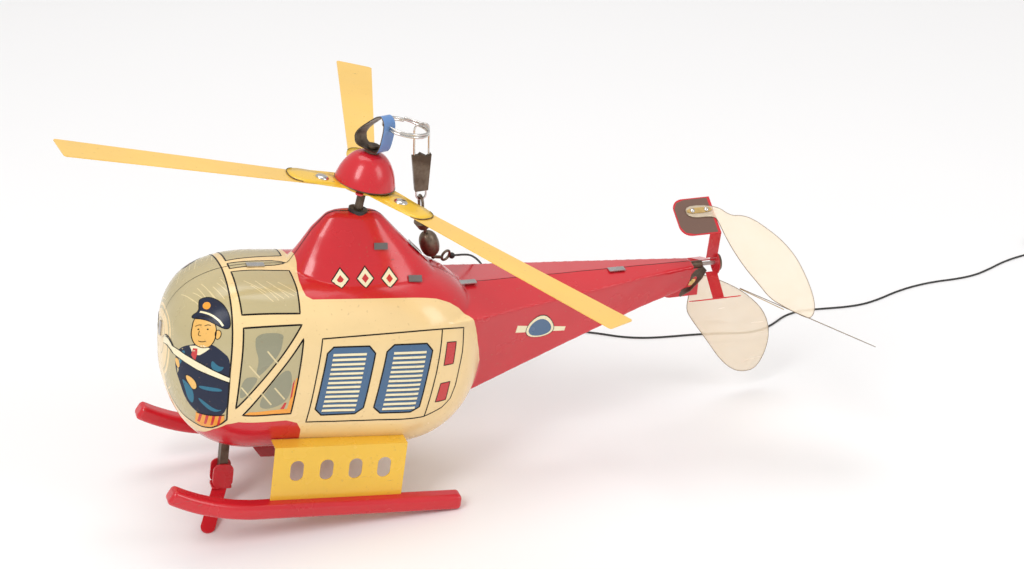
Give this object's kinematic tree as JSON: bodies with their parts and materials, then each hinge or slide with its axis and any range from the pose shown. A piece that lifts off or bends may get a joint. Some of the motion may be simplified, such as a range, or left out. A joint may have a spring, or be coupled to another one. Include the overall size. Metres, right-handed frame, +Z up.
{
  "type": "toy helicopter",
  "caption": "Lithographed tin toy helicopter on skis with a free rotor, a wind-up key, a celluloid tail propeller and a hanging cord with ring, clip and swivel.",
  "frame": {"origin": "on the ground under the middle of the toy's own box, without its cord", "axes": "nose towards -X, starboard side +Y, +Z up, standing nose-up on its shoe and ski heels"},
  "size_m": [0.6015, 0.2752, 0.2074],
  "materials": {
    "red_tin": "glossy lacquered tinplate",
    "dark_red_tin": "satin lacquered tinplate",
    "yellow_tin": "glossy lacquered tinplate",
    "blade_yellow": "semi-gloss lacquered tinplate",
    "brown_steel": "bronze-brown lacquered steel",
    "bright_steel": "bright steel",
    "nickel": "nickel plate",
    "brass": "aged brass",
    "blue_tin": "blue lacquer outside, brown inside",
    "celluloid": "translucent aged celluloid",
    "black_rubber": "hardened rubber",
    "cord_black": "twisted waxed cord",
    "spring_steel": "blued spring steel"
  },
  "bodies": {
    "airframe": {"port_shell": "red_tin", "starboard_shell": "red_tin", "seam_tabs": "bright_steel", "motor_tabs": "bright_steel", "pylon_grommet": "black_rubber", "belly_keel": "dark_red_tin", "port_bracket": "yellow_tin", "starboard_bracket": "yellow_tin", "port_ski": "red_tin", "starboard_ski": "red_tin", "nose_strut": "brown_steel", "nose_shoe": "red_tin", "rotor_shaft": "brown_steel", "dome_nut": "brown_steel", "port_plate": "bright_steel", "starboard_plate": "bright_steel", "frame_pillars": "bright_steel", "bearing_bar": "bright_steel", "boom_bush": "brown_steel", "tail_bracket": "brown_steel", "cord_tube": "cord_black", "cord_coil": "cord_black"},
    "rotor": {"rotor_hub": "yellow_tin", "left_blade": "blade_yellow", "front_blade": "blade_yellow", "back_blade": "blade_yellow", "rotor_rivets": "nickel", "rotor_dome": "red_tin"},
    "hanger": {"hanger_stirrup": "blue_tin"},
    "ring": {"split_ring": "nickel"},
    "clip": {"clip_wire": "nickel", "clip_sheath": "brown_steel"},
    "swivel": {"swivel_eye": "brown_steel"},
    "barrel": {"swivel_barrel": "brown_steel"},
    "lower_loop": {"lower_eye": "brown_steel", "cord_knot": "cord_black"},
    "spring_arbor": {"winding_arbor": "bright_steel", "great_wheel": "brass", "mainspring": "spring_steel", "winding_key": "bright_steel"},
    "crown_arbor": {"pinion_arbor": "bright_steel", "pinion": "brass", "crown_wheel": "brass"},
    "tail_rotor": {"tail_shaft": "bright_steel", "tail_pinion": "brass", "tail_spider": "red_tin", "port_leaf": "celluloid", "lower_leaf": "celluloid", "long_leaf": "celluloid", "tail_straps": "brass", "tail_cap": "brown_steel"}
  },
  "joints": [
    {"name": "rotor_spin", "type": "hinge", "parent": "airframe", "child": "rotor", "pos_m": [-0.05001, -0.01077, 0.16011], "axis": [0.258, 0, 0.9662], "continuous": true},
    {"name": "hanger_swivel", "type": "hinge", "parent": "rotor", "child": "hanger", "pos_m": [-0.05001, -0.01077, 0.16011], "axis": [0.258, 0, 0.9662], "range_deg": [-20, 20]},
    {"name": "ring_swing", "type": "hinge", "parent": "hanger", "child": "ring", "pos_m": [-0.03836, -0.01618, 0.18908], "axis": [-0.4401, 0.8902, 0.1175], "range_deg": [-8, 0]},
    {"name": "clip_swing", "type": "hinge", "parent": "ring", "child": "clip", "pos_m": [-0.01978, -0.00634, 0.18412], "axis": [-0.4401, 0.8902, 0.1175], "range_deg": [-18, 0]},
    {"name": "swivel_swing", "type": "hinge", "parent": "clip", "child": "swivel", "pos_m": [-0.02002, -0.00237, 0.14444], "axis": [0.0001, -0.9945, -0.1048], "range_deg": [0, 14]},
    {"name": "barrel_spin", "type": "hinge", "parent": "swivel", "child": "barrel", "pos_m": [-0.01761, -0.00117, 0.12581], "axis": [0.2695, 0.1733, -0.9473], "continuous": true},
    {"name": "lower_eye_turn", "type": "hinge", "parent": "swivel", "child": "lower_loop", "pos_m": [-0.01761, -0.00117, 0.12581], "axis": [0.2695, 0.1733, -0.9473], "range_deg": [-20, 20]},
    {"name": "arbor_turn", "type": "hinge", "parent": "airframe", "child": "spring_arbor", "pos_m": [-0.05691, -0.01077, 0.07594], "axis": [0, 1, 0], "continuous": true},
    {"name": "crown_turn", "type": "hinge", "parent": "airframe", "child": "crown_arbor", "pos_m": [-0.05041, -0.01077, 0.09748], "axis": [0, 1, 0], "continuous": true},
    {"name": "tail_turn", "type": "hinge", "parent": "airframe", "child": "tail_rotor", "pos_m": [0.13153, -0.01077, 0.09024], "axis": [0.9992, 0, -0.0398], "continuous": true}
  ],
  "couplings": [
    {"joint": "crown_turn", "follows": "arbor_turn", "ratio": -4},
    {"joint": "tail_turn", "follows": "arbor_turn", "ratio": 16}
  ]
}
